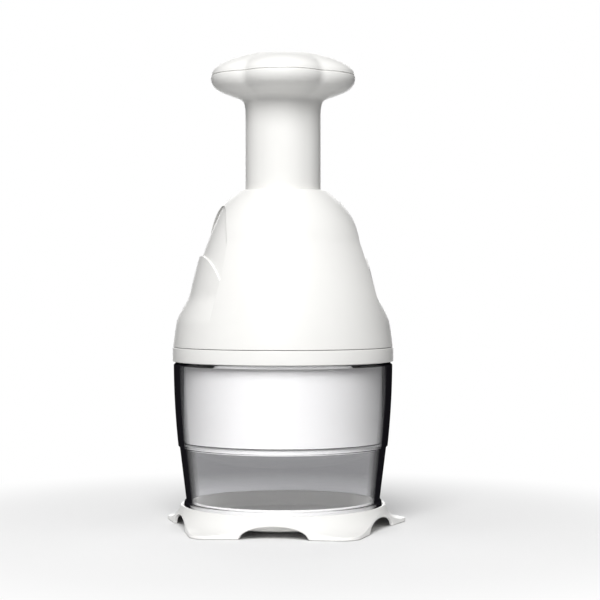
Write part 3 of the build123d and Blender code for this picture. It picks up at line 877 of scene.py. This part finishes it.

# %% [markdown]
# ## The return spring
#
# A coil spring sits between the mechanism and the web of the plunger. It is round wire wound as a helix,
# with its end turns laid close so that it stands square. A tube of rings swept along the helix gives
# real wire. Under the palm it shortens; here it stands at its rest length on the housing.

# %% Coil spring
spring_foot = high_z("spring_seat") - 2.0
spring_head = web_z
SPRING_RADIUS = 9.4
WIRE = 0.7
WIRE_SIDES = 10
TURNS = 8.5
STEPS_PER_TURN = 40


def coil_height(turn):
    """Height of the wire's centre after some turns: close at both ends, open between."""
    low, high = spring_foot + WIRE, spring_head - WIRE
    close = 2 * WIRE + 0.1
    if turn < 1:
        return low + close * turn
    if turn > TURNS - 1:
        return high - close * (TURNS - turn)
    share = (turn - 1) / (TURNS - 2)
    return low + close + (high - low - 2 * close) * share


def wound_spring():
    """Tube of wire rings along the helix."""
    mesh = bmesh.new()
    rings = []
    count = int(TURNS * STEPS_PER_TURN)
    for i in range(count + 1):
        turn = i / STEPS_PER_TURN
        angle = 2 * pi * turn
        out = Vector((cos(angle), sin(angle), 0))
        centre = out * SPRING_RADIUS + Vector((0, 0, coil_height(turn)))
        ring = []
        for around_wire in evenly(WIRE_SIDES):
            place = centre + out * (WIRE * cos(around_wire)) + Vector((0, 0, WIRE * sin(around_wire)))
            ring.append(mesh.verts.new(place * MM))
        rings.append(ring)
    for a, b in zip(rings, rings[1:]):
        for j in range(WIRE_SIDES):
            k = (j + 1) % WIRE_SIDES
            mesh.faces.new((a[j], a[k], b[k], b[j]))
    mesh.faces.new(rings[0])
    mesh.faces.new(rings[-1][::-1])
    return as_object("spring_wire", mesh)


spring = wound_spring()

# %% [markdown]
# ## Metals, nylon and rubber
#
# The small inner pieces keep their CAD form. The blades are polished strip, ground across the edge, so
# they get a fine brushed grain. Screws, washers and the spring are zinc-bright wire and bar. The nut and
# its frame are nylon, which is duller and a little translucent. The ring that stops the plunger is soft
# grey rubber.


# %% Other finishes
def metal(name, dark, light, roughness, grain_scale):
    """Metal with fine stretched scratches."""
    material, tree, shader = finish_material(name)
    place = tree.nodes.new("ShaderNodeTexCoord")
    stretch = tree.nodes.new("ShaderNodeMapping")
    stretch.inputs["Scale"].default_value = (1, 1, 0.04)
    texture = tree.nodes.new("ShaderNodeTexNoise")
    texture.inputs["Scale"].default_value = grain_scale
    texture.inputs["Detail"].default_value = 4
    tree.links.new(place.outputs["Object"], stretch.inputs["Vector"])
    tree.links.new(stretch.outputs["Vector"], texture.inputs["Vector"])
    tree.links.new(ramp(tree, texture.outputs["Fac"], dark, light), shader.inputs["Base Color"])
    shader.inputs["Metallic"].default_value = 1.0
    shader.inputs["Roughness"].default_value = roughness
    bumped(tree, shader, texture.outputs["Fac"], 0.008)
    return material


blade_steel = metal("blade_steel", (0.60, 0.61, 0.62), (0.72, 0.73, 0.74), 0.22, 3000)
zinc = metal("bright_zinc", (0.52, 0.53, 0.55), (0.66, 0.67, 0.69), 0.3, 1800)
nylon = moulded("nylon", (0.66, 0.655, 0.62), (0.71, 0.705, 0.67), 0.5, 0.02)
rubber = moulded("grey_rubber", (0.24, 0.245, 0.25), (0.29, 0.295, 0.30), 0.75, 0.03)

FINISHES = {
    "white_plastic": white_plastic, "nylon": nylon, "soft_ring": rubber,
    "spring_steel": zinc, "blade_steel": blade_steel,
}
for part in frame["record"]["subparts"]:
    finish = FINISHES.get(part["material_slot"])
    if finish:
        piece = nodes[part["node"]]
        piece.data.materials.clear()
        piece.data.materials.append(finish)

fit(spring, "housing", "spring_steel", zinc, "return_spring")
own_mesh(spring)

# %% [markdown]
# ## Floor, light and camera
#
# The picture is a plain product shot on white. The floor is pale near the chopper, where it holds the
# soft shadow. Further out the camera sees it melt into plain white, so that no horizon shows from any
# side, while every other ray finds it dim. The surround is white to the camera too, a low even grey to
# the light that falls on the piece, and darker still where a glossy skin mirrors it. White plastic needs
# that: with white all round it the undersides and the sides would be as bright as the front, and the
# forms would vanish.

# %% White floor and surround
floor_mesh = bmesh.new()
bmesh.ops.create_circle(floor_mesh, cap_ends=True, radius=6.0, segments=96)
floor_data = bpy.data.meshes.new("floor")
floor_mesh.to_mesh(floor_data)
floor_mesh.free()
floor = bpy.data.objects.new("floor", floor_data)
floor.location.z = -0.2 * MM
bpy.context.scene.collection.objects.link(floor)


def floor_white():
    """Pale floor, dim away from the middle, where the camera sees plain white instead."""
    material, tree, shader = finish_material("floor_white")
    shader.inputs["Roughness"].default_value = 0.9
    place = tree.nodes.new("ShaderNodeTexCoord")
    length = tree.nodes.new("ShaderNodeVectorMath")
    length.operation = "LENGTH"
    dim = tree.nodes.new("ShaderNodeMapRange")
    dim.interpolation_type = "SMOOTHSTEP"
    dim.inputs["From Min"].default_value = 0.1
    dim.inputs["From Max"].default_value = 0.36
    dim.inputs["To Min"].default_value = 0.86
    dim.inputs["To Max"].default_value = 0.25
    tree.links.new(length.outputs["Value"], dim.inputs["Value"])
    tree.links.new(dim.outputs["Result"], shader.inputs["Base Color"])
    fade = tree.nodes.new("ShaderNodeMapRange")
    fade.interpolation_type = "SMOOTHSTEP"
    fade.inputs["From Min"].default_value = 0.06
    fade.inputs["From Max"].default_value = 0.25
    glow = tree.nodes.new("ShaderNodeEmission")
    glow.inputs["Strength"].default_value = 1.0
    path = tree.nodes.new("ShaderNodeLightPath")
    share = tree.nodes.new("ShaderNodeMath")
    share.operation = "MULTIPLY"
    mix = tree.nodes.new("ShaderNodeMixShader")
    tree.links.new(place.outputs["Object"], length.inputs[0])
    tree.links.new(length.outputs["Value"], fade.inputs["Value"])
    tree.links.new(fade.outputs["Result"], share.inputs[0])
    tree.links.new(path.outputs["Is Camera Ray"], share.inputs[1])
    tree.links.new(share.outputs["Value"], mix.inputs["Fac"])
    tree.links.new(shader.outputs["BSDF"], mix.inputs[1])
    tree.links.new(glow.outputs["Emission"], mix.inputs[2])
    tree.links.new(mix.outputs["Shader"], tree.nodes["Material Output"].inputs["Surface"])
    return material


floor_data.materials.append(floor_white())
GREY_LIGHT = 0.22
GREY_MIRRORED = 0.06
world = bpy.data.worlds.new("surround")
bpy.context.scene.world = world
world.use_nodes = True
surround = world.node_tree.nodes["Background"]
surround.inputs["Color"].default_value = (1, 1, 1, 1)
seen = world.node_tree.nodes.new("ShaderNodeBackground")
path = world.node_tree.nodes.new("ShaderNodeLightPath")
choose = world.node_tree.nodes.new("ShaderNodeMixShader")
dimmer = world.node_tree.nodes.new("ShaderNodeMath")
dimmer.operation = "MULTIPLY_ADD"
dimmer.inputs[1].default_value = GREY_MIRRORED - GREY_LIGHT
dimmer.inputs[2].default_value = GREY_LIGHT
seen.inputs["Color"].default_value = (1, 1, 1, 1)
seen.inputs["Strength"].default_value = 1.0
world.node_tree.links.new(path.outputs["Is Glossy Ray"], dimmer.inputs[0])
world.node_tree.links.new(dimmer.outputs["Value"], surround.inputs["Strength"])
world.node_tree.links.new(path.outputs["Is Camera Ray"], choose.inputs["Fac"])
world.node_tree.links.new(surround.outputs["Background"], choose.inputs[1])
world.node_tree.links.new(seen.outputs["Background"], choose.inputs[2])
world.node_tree.links.new(choose.outputs["Shader"], world.node_tree.nodes["World Output"].inputs["Surface"])
bpy.context.scene.view_settings.view_transform = "Standard"

# %% [markdown]
# One large soft lamp stands high in front and gives the gentle fall of light across each round form. A
# weaker one stands opposite, so that the back isn't left grey. Both are placed by their bearing round the
# chopper and aimed at its middle.


# %% Lamps
def soft_lamp(name, bearing, height, away, size, power):
    """Square area lamp at a bearing in degrees from the front, aimed at the chopper."""
    data = bpy.data.lights.new(name, "AREA")
    data.size = size
    data.energy = power
    lamp = bpy.data.objects.new(name, data)
    lamp.location = (away * sin(radians(bearing)), -away * cos(radians(bearing)), height)
    towards = Vector((0, 0, 0.12)) - lamp.location
    lamp.rotation_euler = towards.to_track_quat("-Z", "Y").to_euler()
    lamp.visible_camera = False
    lamp.visible_transmission = False
    bpy.context.scene.collection.objects.link(lamp)


soft_lamp("front_key", bearing=-20, height=1.1, away=1.15, size=0.8, power=25.5)
soft_lamp("back_fill", bearing=167, height=0.35, away=1.2, size=0.9, power=5.5)

# %% [markdown]
# The camera stands level with the middle of the chopper and looks along a long lens, turned a little to
# its left, as in a catalogue picture.

# %% Camera
CAMERA_TURN = radians(-13)
CAMERA_AWAY = 0.803
CAMERA_HEIGHT = 0.1164
AIM_RIGHT = 0.0084
AIM_DROP = 0.005
sight = Vector((-sin(CAMERA_TURN), cos(CAMERA_TURN), 0))
to_right = Vector((sight.y, -sight.x, 0))
camera_data = bpy.data.cameras.new("camera")
camera_data.lens = 97.0
camera_data.sensor_width = 36.0
camera = bpy.data.objects.new("camera", camera_data)
bpy.context.scene.collection.objects.link(camera)
camera.location = Vector((0, 0, CAMERA_HEIGHT)) - sight * CAMERA_AWAY
aim = to_right * AIM_RIGHT + Vector((0, 0, CAMERA_HEIGHT - AIM_DROP))
camera.rotation_euler = (aim - camera.location).to_track_quat("-Z", "Y").to_euler()
bpy.context.scene.camera = camera
print("camera at", [round(v, 3) for v in camera.location])

# %% [markdown]
# Last, the scene is brought up to date.

# %% Scene update
bpy.context.view_layer.update()
